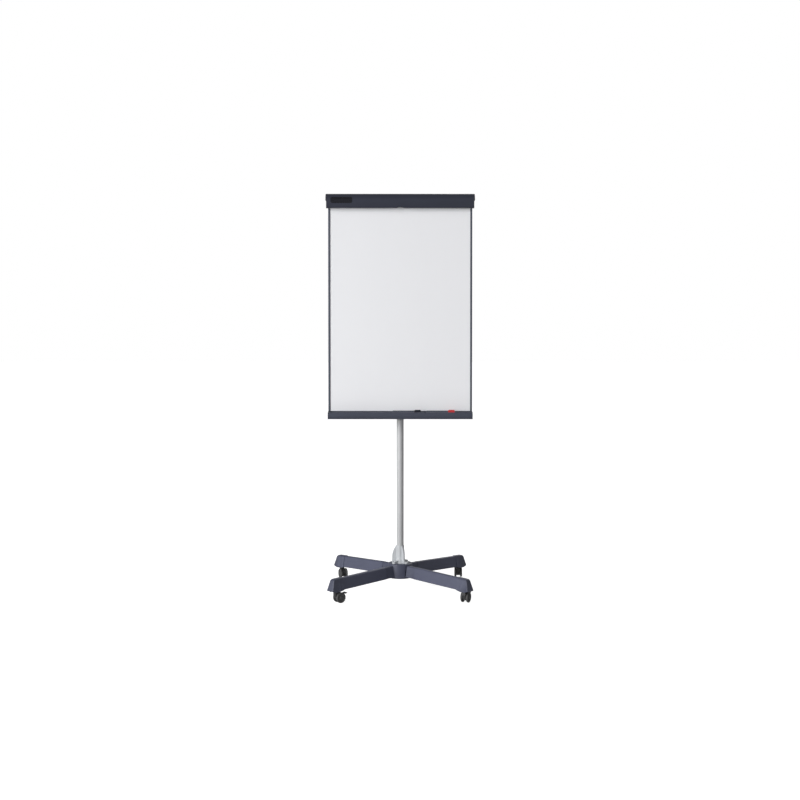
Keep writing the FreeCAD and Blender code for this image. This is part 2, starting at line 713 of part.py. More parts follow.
def make_bar_cap(side):
    """End cap of the clamp bar: a plug in its end, an outer plate and the pivot's eye."""
    outline = [
        (face_y - 29, clamp_bottom, 8.0),
        (face_y - 1.5, clamp_bottom, 2.0),
        (hinge_y + 7, hinge_z - 12, 9.0),
        (hinge_y + 7, overall_height, 7.0),
        (face_y - 12, overall_height, 30.0),
        (face_y - bar_depth, clamp_bottom + 45, 40.0),
    ]
    thin, thick = bar_half + bar_cap_thin, bar_half + bar_cap_thick
    upper = along_x(outline, bar_half, thick).cut(
        box(0, thick + 1, face_y - 80, face_y + 80, 0, clamp_bottom + step_up))
    rims = [e for e in upper.Edges if abs(e.CenterOfMass.x - thick) < 0.01]
    upper = upper.makeFillet(2.2, rims)
    plate = along_x(outline, bar_half, thin)
    plug = along_x(outline, board_half + 1, bar_half, -bar_wall - seat)
    plug = plug.cut(box(0, bar_half, face_y - lip_gap - bar_wall - seat, face_y - 1,
                        clamp_bottom, clamp_bottom + lip_height + seat))
    body = fuse(upper, plate, plug)
    body = body.cut(rod(pin_radius + running, (0, hinge_y, hinge_z), (thick - 1.5, hinge_y, hinge_z)))
    if side < 0:
        body = body.mirror(Vector(0, 0, 0), Vector(1, 0, 0))
    return body


def make_grip_strips():
    """Ribbed rubber strips on the clamp bar's lip, just off the white face, one each side of the notch."""
    grooves = Part.makeCompound([
        box(-board_half, board_half, face_y - apart - 0.8, face_y,
            clamp_bottom + 1.6 + 2 * k, clamp_bottom + 2.6 + 2 * k) for k in range(3)])
    strips = []
    for side in (-1, 1):
        x0, x1 = sorted((side * (notch_half + 1), side * (board_half - 12)))
        strip = box(x0, x1, face_y - lip_gap, face_y - apart, clamp_bottom + 0.5, clamp_bottom + 8)
        strips.append(strip.cut(grooves))
    return strips


def make_hinge_pin():
    half = bar_half + bar_cap_thick - 2.5
    return rod(pin_radius, (-half, hinge_y, hinge_z), (half, hinge_y, hinge_z))


def make_springs():
    """Two torsion springs on the hinge pin, beside the rail's barrel."""
    wire_radius, coil_radius, pitch, turns = 0.7, 3.8, 2.0, 10
    springs = []
    for side in (-1, 1):
        helix = Part.makeHelix(pitch, pitch * turns, coil_radius)
        ring = Part.Wire(Part.makeCircle(wire_radius, Vector(coil_radius, 0, 0), Vector(0, 1, 0)))
        coil = Part.Wire(helix.Edges).makePipeShell([ring], True, True)
        coil = Part.Solid(coil) if coil.ShapeType != "Solid" else coil
        start = side * (barrel_half + 4.0) - (pitch * turns if side < 0 else 0)
        coil.Placement = Placement(Vector(start, hinge_y, hinge_z), Rotation(Vector(0, 1, 0), 90))
        springs.append(coil)
    return springs


def make_peg(x):
    """Hook for a pad's punched hole, on a slider in the clamp rail's T-slot."""
    front = face_y - slot_gap - front_leg
    gap = 0.25
    head = box(x - 9, x + 9, front + 2.2 + gap, front + 4.8 - gap, peg_z - 5.5 + gap, peg_z + 5.5 - gap)
    neck = box(x - 9, x + 9, front - 0.3, front + 3, peg_z - 2.5 + gap, peg_z + 2.5 - gap)
    flange = box(x - 11, x + 11, front - 2.3, front - 0.3, peg_z - 6, peg_z + 6)
    flange = flange.makeFillet(2.0, [e for e in flange.Edges if abs(e.Length - 2.0) < 0.01])
    pin_root = front - 2.3
    pin = rod(peg_radius, (x, pin_root, peg_z), (x, pin_root - peg_length, peg_z))
    tip = [e for e in pin.Edges if abs(e.CenterOfMass.y - (pin_root - peg_length)) < 0.01]
    return fuse(head, neck, flange, pin.makeChamfer(0.8, tip[:1]))


# ---------------------------------------------------------------- pen tray and markers
tray_front = face_y - tray_depth
trough_floor = tray_top - 14.0
lip_top = tray_top - 4.0     # top of the tray's front edge
tray_wall = 2.5
tray_cap = 2.0
tray_rear = board_back + slot_gap + tray_wall
trough_rear = face_y - slot_gap - tray_wall


def tray_outline():
    return [
        (tray_front + 7, tray_bottom, 3.0),
        (tray_rear, tray_bottom, 2.0),
        (tray_rear, tray_top, 1.0),
        (trough_rear - 0.5, tray_top, 0.0),
        (tray_front + 3.5, lip_top, 2.2),
        (tray_front, tray_bottom + 15, 3.0),
    ]


def make_tray():
    half = board_half - tray_cap
    body = along_x(tray_outline(), -half, half)
    trough = [
        (tray_front + 9.5, trough_floor, 5.0),
        (trough_rear, trough_floor, 3.0),
        (trough_rear, tray_top + 20, 0.0),
        (tray_front + 6.5, tray_top + 20, 0.0),
    ]
    body = body.cut(along_x(trough, -half - 1, half + 1))
    slot = box(-half - 1, half + 1, face_y - slot_gap, board_back + slot_gap,
               panel_bottom - 0.2, tray_top + 5)
    rail_side = board_half - rail_width - 0.5
    rail_seats = [box(x0, x1, trough_rear - 1, tray_rear + 1, rail_foot - 0.5, tray_top + 5)
                  for x0, x1 in ((-half - 1, -rail_side), (rail_side, half + 1))]
    body = body.cut(fuse(slot, *rail_seats))
    hollow_rear = trough_rear - 0.5
    hollow = [
        (tray_front + 7, tray_bottom, 3.0),
        (hollow_rear, tray_bottom, 3.0),
        (hollow_rear, trough_floor, 3.0),
        (tray_front + 5, trough_floor, 4.0),
        (tray_front, tray_bottom + 15, 3.0),
    ]
    return body.cut(along_x(hollow, -half - 1, half + 1, -tray_wall))


def make_tray_caps():
    caps = []
    for side in (-1, 1):
        x0, x1 = sorted((side * (board_half - tray_cap), side * board_half))
        plate = along_x(tray_outline(), x0, x1, 0.6)
        notch_x = side * (board_half - tray_cap)
        near = [e for e in plate.Edges if abs(abs(e.CenterOfMass.x) - board_half) < 0.01]
        plate = plate.makeFillet(0.8, near)
        above = box(min(notch_x, 0) - 9, max(notch_x, 0) + 9, trough_rear - 1, tray_rear + 5,
                    rail_foot - 0.5, tray_top + 5)
        caps.append(plate.cut(above))
    return caps


# ---------------------------------------------------------------- markers
marker_length = 138.0
marker_cap_length = 33.0
marker_mouth = marker_length - marker_cap_length
barrel_r = 8.0
neck_r = 6.9
marker_cap_r = 9.6
clip_half = 2.2
marker_y = (tray_front + face_y) / 2 + 2.0
marker_z = trough_floor + marker_cap_r + 0.3
marker_places = {"marker_black": -37.0, "marker_red": 127.0}


def make_marker(x0):
    """Barrel with its writing end to +X, and the felt nib under the cap."""
    section = [(0, 0), (barrel_r - 1.6, 0), (barrel_r - 0.5, 0.6), (barrel_r, 2.4),
               (barrel_r, marker_mouth - 0.4), (neck_r, marker_mouth - 0.4),
               (neck_r - 0.2, marker_mouth + 10), (4.6, marker_mouth + 12),
               (3.4, marker_mouth + 16), (0, marker_mouth + 16)]
    barrel = turned(section, (x0, marker_y, marker_z), (1, 0, 0))
    nib = turned([(0, marker_mouth + 16), (2.4, marker_mouth + 16), (2.4, marker_mouth + 19),
                  (1.2, marker_mouth + 22), (0, marker_mouth + 22)],
                 (x0, marker_y, marker_z), (1, 0, 0))
    return barrel, nib


def make_marker_cap(x0):
    """Cap with a clip along its top."""
    bore = neck_r + 0.3
    section = [(bore, marker_mouth), (marker_cap_r - 0.4, marker_mouth),
               (marker_cap_r, marker_mouth + 0.8), (marker_cap_r - 0.3, marker_length - 2.2),
               (marker_cap_r - 1.2, marker_length - 0.5), (marker_cap_r - 2.6, marker_length),
               (0, marker_length), (0, marker_length - 3), (5.4, marker_length - 3),
               (bore, marker_mouth + 14)]
    shell = turned(section, (x0, marker_y, marker_z), (1, 0, 0))
    clip = box(x0 + marker_mouth + 3, x0 + marker_length - 2.5, marker_y - clip_half,
               marker_y + clip_half, marker_z + marker_cap_r - 1.5, marker_z + marker_cap_r + 1.9)
    crest = [e for e in clip.Edges if e.CenterOfMass.z > marker_z + marker_cap_r + 1.8]
    return fuse(shell, clip.makeFillet(0.7, crest))


# ---------------------------------------------------------------- assembly
def build():
    keep("base_hub", make_hub())
    arm, end_cap = make_arm(), make_end_cap()
    sockets = []
    for name, angle in arm_names.items():
        keep("base_arm_" + name, turn_z(arm, angle))
        keep("arm_end_cap_" + name, turn_z(end_cap, angle))
        sockets.append(place_caster(make_socket(), name))
    keep("caster_sockets", *sockets)
    keep("base_screws", *make_base_screws())
    keep("pole_boot", make_boot())
    keep("pole_tube", make_pole_tube())
    keep("pole_foot_plug", make_foot_plug())
    keep("pole_bolt", *make_pole_bolt())
    keep("pole_guide_bush", make_guide_bush())
    keep("height_collar", make_collar())
    keep("height_knob", make_knob())
    keep("height_clamp_screw", make_clamp_screw())
    for name in arm_names:
        brake = name in braked
        keep("caster_housing_" + name, place_caster(make_caster_housing(brake), name))
        pins = [place_caster(pin, name) for pin in make_caster_pins(brake)]
        keep("caster_pins_" + name, *pins)
        keep("caster_wheel_" + name + "_a", place_caster(make_wheel(1), name))
        keep("caster_wheel_" + name + "_b", place_caster(make_wheel(-1), name))
        if brake:
            keep("caster_brake_" + name, place_caster(make_brake_lever(), name))
    keep("inner_tube", make_inner_tube())
    keep("board_panel", drill_panel(make_panel()))
    keep("board_face", make_face())
    keep("board_rail_left", make_side_rail(-1))
    keep("board_rail_right", make_side_rail(1))
    keep("top_bracket", make_bracket(bracket_bottom, bracket_height, inner_radius + seat, True))
    keep("lower_guide", make_bracket(guide_bottom, guide_height, pole_radius + running, False))
    keep("bracket_screws", *make_bracket_screws())
    keep("clamp_rail", make_clamp_rail())
    keep("hinge_pin", make_hinge_pin())
    keep("clamp_springs", *make_springs())
    keep("pen_tray", make_tray())
    keep("tray_end_caps", *make_tray_caps())
    keep("clamp_bar", make_clamp_bar())
    keep("clamp_bar_caps", make_bar_cap(-1), make_bar_cap(1))
    keep("clamp_badge", make_badge())
    keep("clamp_grip_strip", *make_grip_strips())
    keep("pad_peg_left", make_peg(-peg_place))
    keep("pad_peg_right", make_peg(peg_place))
    for name, x0 in marker_places.items():
        keep(name, *make_marker(x0))
        keep(name + "_cap", make_marker_cap(x0))


build()
os.makedirs("parts", exist_ok=True)
for name, shape in shapes.items():
    solids = shape.Solids
    if not solids or not all(s.isValid() and s.Volume > 0 for s in solids):
        raise ValueError(name + " is not made of sound solids")
    shape.exportStep("parts/" + name + ".step")
print(len(shapes), "nodes")
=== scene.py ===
import json
import math

import bmesh
import bpy
from mathutils import Matrix, Vector


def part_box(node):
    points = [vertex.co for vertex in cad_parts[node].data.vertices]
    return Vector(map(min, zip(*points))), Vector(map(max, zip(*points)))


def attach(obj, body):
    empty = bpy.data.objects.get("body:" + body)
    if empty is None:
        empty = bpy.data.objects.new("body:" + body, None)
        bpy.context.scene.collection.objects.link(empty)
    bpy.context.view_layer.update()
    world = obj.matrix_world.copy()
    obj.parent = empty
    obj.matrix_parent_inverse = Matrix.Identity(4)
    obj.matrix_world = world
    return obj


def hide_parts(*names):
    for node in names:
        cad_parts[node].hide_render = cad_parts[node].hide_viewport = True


# Mobile flipchart easel: visible pieces, finishes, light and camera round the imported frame.

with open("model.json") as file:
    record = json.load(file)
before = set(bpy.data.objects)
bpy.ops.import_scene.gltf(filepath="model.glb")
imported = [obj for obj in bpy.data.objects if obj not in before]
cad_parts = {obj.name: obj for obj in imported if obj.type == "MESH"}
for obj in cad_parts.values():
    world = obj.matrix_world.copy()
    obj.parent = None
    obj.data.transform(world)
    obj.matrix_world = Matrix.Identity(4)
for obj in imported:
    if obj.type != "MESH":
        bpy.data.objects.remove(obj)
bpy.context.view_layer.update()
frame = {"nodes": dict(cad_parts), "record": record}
nodes = frame["nodes"]
mm = 0.001
frontArms = ("front_left", "front_right")
arms = frontArms + ("rear_left", "rear_right")
print("frame loaded:", len(nodes), "nodes")


# Finishes

def newMaterial(name):
    material = bpy.data.materials.new(name)
    material.use_nodes = True
    tree = material.node_tree
    shader = tree.nodes["Principled BSDF"]
    return material, tree, shader


def link(tree, source, target):
    tree.links.new(source, target)


def objectCoordinates(tree, scale=(1, 1, 1)):
    coordinates = tree.nodes.new("ShaderNodeTexCoord")
    mapping = tree.nodes.new("ShaderNodeMapping")
    mapping.inputs["Scale"].default_value = scale
    link(tree, coordinates.outputs["Object"], mapping.inputs["Vector"])
    return mapping.outputs["Vector"]


def noiseOf(tree, vector, scale, detail=3.0, rough=0.5):
    noise = tree.nodes.new("ShaderNodeTexNoise")
    noise.inputs["Scale"].default_value = scale
    noise.inputs["Detail"].default_value = detail
    noise.inputs["Roughness"].default_value = rough
    link(tree, vector, noise.inputs["Vector"])
    return noise.outputs["Fac"]


def spread(tree, value, low, high, fromLow=0.3, fromHigh=0.7):
    ramp = tree.nodes.new("ShaderNodeMapRange")
    ramp.inputs["From Min"].default_value = fromLow
    ramp.inputs["From Max"].default_value = fromHigh
    ramp.inputs["To Min"].default_value = low
    ramp.inputs["To Max"].default_value = high
    link(tree, value, ramp.inputs["Value"])
    return ramp.outputs["Result"]


def tinted(tree, value, dark, light):
    mix = tree.nodes.new("ShaderNodeMix")
    mix.data_type = "RGBA"
    mix.inputs["A"].default_value = (*dark, 1)
    mix.inputs["B"].default_value = (*light, 1)
    link(tree, spread(tree, value, 0, 1), mix.inputs["Factor"])
    return mix.outputs["Result"]


def bumped(tree, shader, value, distance, strength=1.0):
    bump = tree.nodes.new("ShaderNodeBump")
    bump.inputs["Distance"].default_value = distance
    bump.inputs["Strength"].default_value = strength
    link(tree, value, bump.inputs["Height"])
    link(tree, bump.outputs["Normal"], shader.inputs["Normal"])


def paintedEdgeHighlight(tree, colour, edgeHighlightColour, amount):
    # painted highlight: a little lighter along sharp convex edges, standing in for light
    # catching them
    geometry = tree.nodes.new("ShaderNodeNewGeometry")
    edge = spread(tree, geometry.outputs["Pointiness"], 0, amount, fromLow=0.52, fromHigh=0.6)
    mix = tree.nodes.new("ShaderNodeMix")
    mix.data_type = "RGBA"
    mix.inputs["B"].default_value = (*edgeHighlightColour, 1)
    link(tree, colour, mix.inputs["A"])
    link(tree, edge, mix.inputs["Factor"])
    return mix.outputs["Result"]


def shade(colour, factor):
    return tuple(min(1.0, channel * factor) for channel in colour)


def powderCoat(name, colour, roughness=0.42, grain=900, metal=0.0):
    material, tree, shader = newMaterial(name)
    vector = objectCoordinates(tree)
    broad = noiseOf(tree, vector, scale=9, detail=4)
    fine = noiseOf(tree, vector, scale=grain, detail=2)
    tone = tinted(tree, broad, shade(colour, 0.93), shade(colour, 1.07))
    # the lighter edges mixed in here are a painted highlight
    link(tree, paintedEdgeHighlight(tree, tone, shade(colour, 1.5), 0.5), shader.inputs["Base Color"])
    link(tree, spread(tree, fine, roughness - 0.05, roughness + 0.07),
         shader.inputs["Roughness"])
    shader.inputs["Metallic"].default_value = metal
    shader.inputs["Specular IOR Level"].default_value = 0.45
    bumped(tree, shader, fine, distance=0.00012, strength=0.5)
    return material


def mouldedPlastic(name, colour, roughness=0.5, grain=1600, depth=0.00008, smear=0.07):
    material, tree, shader = newMaterial(name)
    vector = objectCoordinates(tree)
    cells = tree.nodes.new("ShaderNodeTexVoronoi")
    cells.inputs["Scale"].default_value = grain
    link(tree, vector, cells.inputs["Vector"])
    clouds = noiseOf(tree, vector, scale=22, detail=3)
    tone = tinted(tree, clouds, shade(colour, 0.92), shade(colour, 1.08))
    # the lighter edges mixed in here are a painted highlight
    link(tree, paintedEdgeHighlight(tree, tone, shade(colour, 1.6), 0.4), shader.inputs["Base Color"])
    smudge = noiseOf(tree, vector, scale=55, detail=4, rough=0.6)
    link(tree, spread(tree, smudge, roughness - smear, roughness + smear),
         shader.inputs["Roughness"])
    bumped(tree, shader, cells.outputs["Distance"], distance=depth, strength=0.5)
    return material


def glossPlastic(name, colour, roughness):
    # polished moulding of a pen: hardly any grain, with faint finger marks
    return mouldedPlastic(name, colour, roughness=roughness, grain=2500, depth=4e-6,
                          smear=0.015)


def anodised(name, colour, along=(1, 1, 1), roughness=0.36, metal=0.35):
    # extruded aluminium: fine die lines along the bar under a coloured skin
    material, tree, shader = newMaterial(name)
    lines = noiseOf(tree, objectCoordinates(tree, along), scale=1500, detail=2, rough=0.6)
    broad = noiseOf(tree, objectCoordinates(tree), scale=6, detail=3)
    tone = tinted(tree, broad, shade(colour, 0.94), shade(colour, 1.06))
    # the lighter edges mixed in here are a painted highlight
    link(tree, paintedEdgeHighlight(tree, tone, shade(colour, 1.6), 0.5), shader.inputs["Base Color"])
    link(tree, spread(tree, lines, roughness - 0.06, roughness + 0.08),
         shader.inputs["Roughness"])
    shader.inputs["Metallic"].default_value = metal
    bumped(tree, shader, lines, distance=0.00004, strength=0.35)
    return material


def steel(name, colour, along=(1, 1, 1), roughness=0.3, grain=900):
    material, tree, shader = newMaterial(name)
    brushed = noiseOf(tree, objectCoordinates(tree, along), scale=grain, detail=3, rough=0.6)
    broad = noiseOf(tree, objectCoordinates(tree), scale=14, detail=4)
    tone = tinted(tree, broad, shade(colour, 0.9), shade(colour, 1.08))
    link(tree, tone, shader.inputs["Base Color"])
    link(tree, spread(tree, brushed, roughness - 0.08, roughness + 0.1),
         shader.inputs["Roughness"])
    shader.inputs["Metallic"].default_value = 1.0
    bumped(tree, shader, brushed, distance=0.00003, strength=0.3)
    return material


def whiteLacquer(name, colour):
    # dry-wipe lacquer on steel sheet: flat, with a faint orange peel and wiping haze
    material, tree, shader = newMaterial(name)
    vector = objectCoordinates(tree)
    peel = noiseOf(tree, vector, scale=420, detail=2, rough=0.5)
    ghost = noiseOf(tree, objectCoordinates(tree, (1, 1, 0.35)), scale=7, detail=4, rough=0.55)
    link(tree, tinted(tree, ghost, shade(colour, 0.995), shade(colour, 1.003)),
         shader.inputs["Base Color"])
    link(tree, spread(tree, ghost, 0.4, 0.44), shader.inputs["Roughness"])
    bumped(tree, shader, peel, distance=0.00001, strength=0.4)
    return material


def softRubber(name, colour, roughness=0.7):
    material, tree, shader = newMaterial(name)
    vector = objectCoordinates(tree)
    dust = noiseOf(tree, vector, scale=70, detail=5, rough=0.65)
    grain = noiseOf(tree, vector, scale=1400, detail=2)
    tone = tinted(tree, dust, colour, shade(colour, 1.35))
    # the lighter edges mixed in here are a painted highlight
    link(tree, paintedEdgeHighlight(tree, tone, shade(colour, 2.0), 0.6), shader.inputs["Base Color"])
    link(tree, spread(tree, dust, roughness - 0.08, roughness + 0.1),
         shader.inputs["Roughness"])
    bumped(tree, shader, grain, distance=0.0001, strength=0.5)
    return material


def fibreboard(name, colour):
    # back foil of the board: upright fibres with fine specks
    material, tree, shader = newMaterial(name)
    vector = objectCoordinates(tree)
    fibres = noiseOf(tree, objectCoordinates(tree, (1, 1, 4)), scale=180, detail=5, rough=0.7)
    specks = noiseOf(tree, vector, scale=700, detail=2)
    link(tree, tinted(tree, fibres, shade(colour, 0.9), shade(colour, 1.08)),
         shader.inputs["Base Color"])
    link(tree, spread(tree, specks, 0.5, 0.65), shader.inputs["Roughness"])
    bumped(tree, shader, specks, distance=0.00006, strength=0.4)
    return material


def felt(name, colour):
    material, tree, shader = newMaterial(name)
    strands = noiseOf(tree, objectCoordinates(tree, (0.3, 1, 1)), scale=3500, detail=4,
                      rough=0.7)
    link(tree, tinted(tree, strands, shade(colour, 0.7), shade(colour, 1.2)),
         shader.inputs["Base Color"])
    shader.inputs["Roughness"].default_value = 0.95
    bumped(tree, shader, strands, distance=0.00015, strength=0.8)
    return material


slate = (0.078, 0.085, 0.13)
finishes = {
    "hub_paint": powderCoat("hubCoat", shade(slate, 0.92)),
    "arm_paint": powderCoat("armCoat", slate),
    "cap_plastic": mouldedPlastic("armCapPlastic", shade(slate, 0.86), roughness=0.46),
    "socket_plastic": mouldedPlastic("socketPlastic", (0.03, 0.03, 0.032)),
    "zinc_steel": steel("zincSteel", (0.62, 0.63, 0.65), roughness=0.32),
    "boot_plastic": mouldedPlastic("bootPlastic", (0.52, 0.54, 0.56), roughness=0.42),
    "pole_paint": powderCoat("poleCoat", (0.52, 0.527, 0.538),
                             roughness=0.46, grain=1200, metal=0.1),
    "bush_plastic": mouldedPlastic("bushPlastic", (0.02, 0.02, 0.022), roughness=0.45),
    "collar_plastic": mouldedPlastic("collarPlastic", (0.07, 0.078, 0.105), roughness=0.45),
    "knob_plastic": mouldedPlastic("knobPlastic", (0.022, 0.022, 0.025), roughness=0.42),
    "caster_plastic": mouldedPlastic("casterPlastic", (0.042, 0.042, 0.044), roughness=0.44),
    "wheel_tread": softRubber("wheelTread", (0.064, 0.064, 0.065), roughness=0.6),
    "brake_plastic": mouldedPlastic("brakePlastic", (0.03, 0.03, 0.032), roughness=0.4),
    "inner_steel": steel("innerTubeSteel", (0.72, 0.73, 0.75),
                         along=(1, 1, 0.02), roughness=0.18),
    "core_board": fibreboard("boardBackFoil", (0.36, 0.37, 0.39)),
    "face_enamel": whiteLacquer("whiteLacquer", (0.9, 0.905, 0.93)),
    "rail_anodised": anodised("railAnodised", (0.09, 0.098, 0.126), along=(1, 1, 0.01)),
    "bracket_paint": powderCoat("bracketCoat", (0.08, 0.088, 0.115)),
    "clamp_rail_anodised": anodised("clampRailAnodised", (0.07, 0.076, 0.1),
                                    along=(0.01, 1, 1)),
    "pin_steel": steel("pinSteel", (0.6, 0.6, 0.62), along=(0.02, 1, 1), roughness=0.25),
    "spring_steel": steel("springSteel", (0.45, 0.45, 0.46), roughness=0.35),
    "tray_anodised": anodised("trayAnodised", (0.068, 0.075, 0.104), along=(0.01, 1, 1)),
    "tray_cap_plastic": mouldedPlastic("trayCapPlastic", (0.045, 0.05, 0.065)),
    "bar_anodised": anodised("barAnodised", (0.041, 0.045, 0.066),
                             along=(0.01, 1, 1), roughness=0.34),
    "bar_cap_plastic": mouldedPlastic("barCapPlastic", (0.03, 0.032, 0.044)),
    "badge_plate": anodised("badgePlate", (0.022, 0.023, 0.03),
                            along=(0.02, 1, 1), roughness=0.3, metal=0.6),
    "grip_rubber": softRubber("gripRubber", (0.018, 0.018, 0.019)),
    "peg_plastic": mouldedPlastic("pegPlastic", (0.024, 0.024, 0.026)),
    "marker_body_dark": glossPlastic("markerBodyDark", (0.075, 0.08, 0.105), roughness=0.26),
    "marker_body_red": glossPlastic("markerBodyRed", (0.075, 0.08, 0.105), roughness=0.26),
    "marker_cap_black": glossPlastic("markerCapBlack", (0.012, 0.012, 0.022), roughness=0.22),
    "marker_cap_red": glossPlastic("markerCapRed", (0.56, 0.035, 0.04), roughness=0.24),
}
print("finishes made:", len(finishes))

slotOf = {part["node"]: part["material_slot"] for part in frame["record"]["subparts"]}
bodyOf = {node: body for body, members in frame["record"]["behaviour"]["bodies"].items()
          for node in members}
for name, node in nodes.items():
    for place in node.material_slots:
        place.material = finishes[slotOf[name]]


# Shaping tools

cleaning = {
    "sharp": 35,       # degrees past which an edge stays sharp
    "soft": 28,        # degrees past which an edge is bevelled
    "flat": 0.4,       # degrees within which faces count as one flat
    "weld": 2e-6,      # metres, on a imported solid
    "fineWeld": 1e-6,  # metres, on a tree's result
}


def finishMesh(bm, name, sharp=cleaning["sharp"]):
    bmesh.ops.recalc_face_normals(bm, faces=bm.faces)
    mesh = bpy.data.meshes.new(name)
    bm.to_mesh(mesh)
    bm.free()
    mesh.shade_smooth()
    mesh.set_sharp_from_angle(angle=math.radians(sharp))
    return mesh


def settle(name, mesh, slot, body, *replaced):
    # puts a finished mesh on its body in its finish
    mesh.materials.clear()
    mesh.materials.append(finishes[slot])
    piece = bpy.data.objects.new(name, mesh)
    bpy.context.scene.collection.objects.link(piece)
    if replaced:
        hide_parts(*replaced)
    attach(piece, body)
    return piece


def softenEdges(piece, width):
    bevel = piece.modifiers.new("softEdges", "BEVEL")
    bevel.width = width
    bevel.segments = 2
    bevel.limit_method = "ANGLE"
    bevel.angle_limit = math.radians(cleaning["soft"])
    bevel.use_clamp_overlap = True
    bevel.harden_normals = True


def refined(node, width):
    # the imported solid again, welded, its flat faces whole and its edges softened
    bm = bmesh.new()
    bm.from_mesh(nodes[node].data)
    bmesh.ops.remove_doubles(bm, verts=bm.verts, dist=cleaning["weld"])
    bmesh.ops.dissolve_limit(bm, angle_limit=math.radians(cleaning["flat"]),
                             verts=bm.verts, edges=bm.edges)
    mesh = finishMesh(bm, node + "Skin", cleaning["soft"])
    piece = settle(node + "Skin", mesh, slotOf[node], bodyOf[node], node)
    softenEdges(piece, width)


refinedNodes = {
    "base_hub": 0.6, "height_collar": 0.5, "height_knob": 0.4, "pen_tray": 0.35,
    "tray_end_caps": 0.3, "clamp_bar": 0.3, "clamp_bar_caps": 0.3, "clamp_rail": 0.3,
    "board_rail_left": 0.3, "board_rail_right": 0.3, "top_bracket": 0.5, "lower_guide": 0.5,
    "pad_peg_left": 0.2, "pad_peg_right": 0.2, "clamp_badge": 0.15, "board_panel": 0.4,
    "pole_boot": 0.5,
}
for armName in arms:
    refinedNodes["base_arm_" + armName] = 0.3
    refinedNodes["arm_end_cap_" + armName] = 0.7
    refinedNodes["caster_housing_" + armName] = 0.4
for armName in frontArms:
    refinedNodes["caster_brake_" + armName] = 0.4
for nodeName, edgeWidth in refinedNodes.items():
    refined(nodeName, edgeWidth * mm)
print("solids refined:", len(refinedNodes))


def islands(node):
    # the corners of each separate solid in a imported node
    bm = bmesh.new()
    bm.from_mesh(nodes[node].data)
    bmesh.ops.remove_doubles(bm, verts=bm.verts, dist=cleaning["weld"])
    groups, seen = [], set()
    for first in bm.verts:
        if first in seen:
            continue
        group, waiting = [], [first]
        seen.add(first)
        while waiting:
            vert = waiting.pop()
            group.append(vert.co.copy())
            for edge in vert.link_edges:
                other = edge.other_vert(vert)
                if other not in seen:
                    seen.add(other)
                    waiting.append(other)
        groups.append(group)
    bm.free()
    return groups


def lathe(bm, profile, segments):
    # turns (radius, height, lobes) in millimetres about Z; lobes pulls a ring in between four
    rings = []
    for radius, height, *lobes in profile:
        if radius == 0:
            rings.append([bm.verts.new((0, 0, height * mm))])
            continue
        ring = []
        for k in range(segments):
            angle = 2 * math.pi * k / segments
            reach = radius * (1 - (lobes[0] if lobes else 0) * (1 - abs(math.cos(2 * angle))))
            ring.append(bm.verts.new((reach * mm * math.cos(angle),
                                      reach * mm * math.sin(angle), height * mm)))
        rings.append(ring)
    for low, high in zip(rings, rings[1:]):
        for k in range(segments):
            n = (k + 1) % segments
            if len(low) == 1 and len(high) == 1:
                break
            if len(low) == 1:
                bm.faces.new((low[0], high[n], high[k]))
            elif len(high) == 1:
                bm.faces.new((low[k], low[n], high[0]))
            else:
                bm.faces.new((low[k], low[n], high[n], high[k]))
    return bm


def roundedBlock(bm, low, high, edge, segments=2):
    # a closed block with every edge rounded, sizes in metres
    made = bmesh.ops.create_cube(bm, size=1)
    for vert in made["verts"]:
        for axis in range(3):
            vert.co[axis] = low[axis] if vert.co[axis] < 0 else high[axis]
    edges = {e for vert in made["verts"] for e in vert.link_edges}
    bmesh.ops.bevel(bm, geom=list(edges), offset=edge, segments=segments, affect="EDGES",
                    profile=0.5)


def axleFrame(origin, along):
    # a place whose Z runs along a direction and whose X is upright
    z = Vector(along).normalized()
    x = Vector((0, 0, 1))
    y = z.cross(x)
    place = Matrix((x, y, z)).transposed().to_4x4()
    place.translation = Vector(origin)
    return place


# Geometry nodes

def newTree(name, inputs):
    tree = bpy.data.node_groups.new(name, "GeometryNodeTree")
    tree.interface.new_socket("Geometry", in_out="INPUT", socket_type="NodeSocketGeometry")
    tree.interface.new_socket("Geometry", in_out="OUTPUT", socket_type="NodeSocketGeometry")
    for label, kind in inputs.items():
        tree.interface.new_socket(label, in_out="INPUT", socket_type="NodeSocket" + kind)
    tree.interface.new_socket("Finish", in_out="INPUT", socket_type="NodeSocketMaterial")
    return tree, tree.nodes.new("NodeGroupInput").outputs


def addNode(tree, kind, **settings):
    made = tree.nodes.new(kind)
    for setting, value in settings.items():
        setattr(made, setting, value)
    return made


def endTree(tree, sizes, geometry):
    realize = addNode(tree, "GeometryNodeRealizeInstances")
    paint = addNode(tree, "GeometryNodeSetMaterial")
    link(tree, geometry, realize.inputs["Geometry"])
    link(tree, realize.outputs["Geometry"], paint.inputs["Geometry"])
    link(tree, sizes["Finish"], paint.inputs["Material"])
    link(tree, paint.outputs["Geometry"], tree.nodes.new("NodeGroupOutput").inputs["Geometry"])


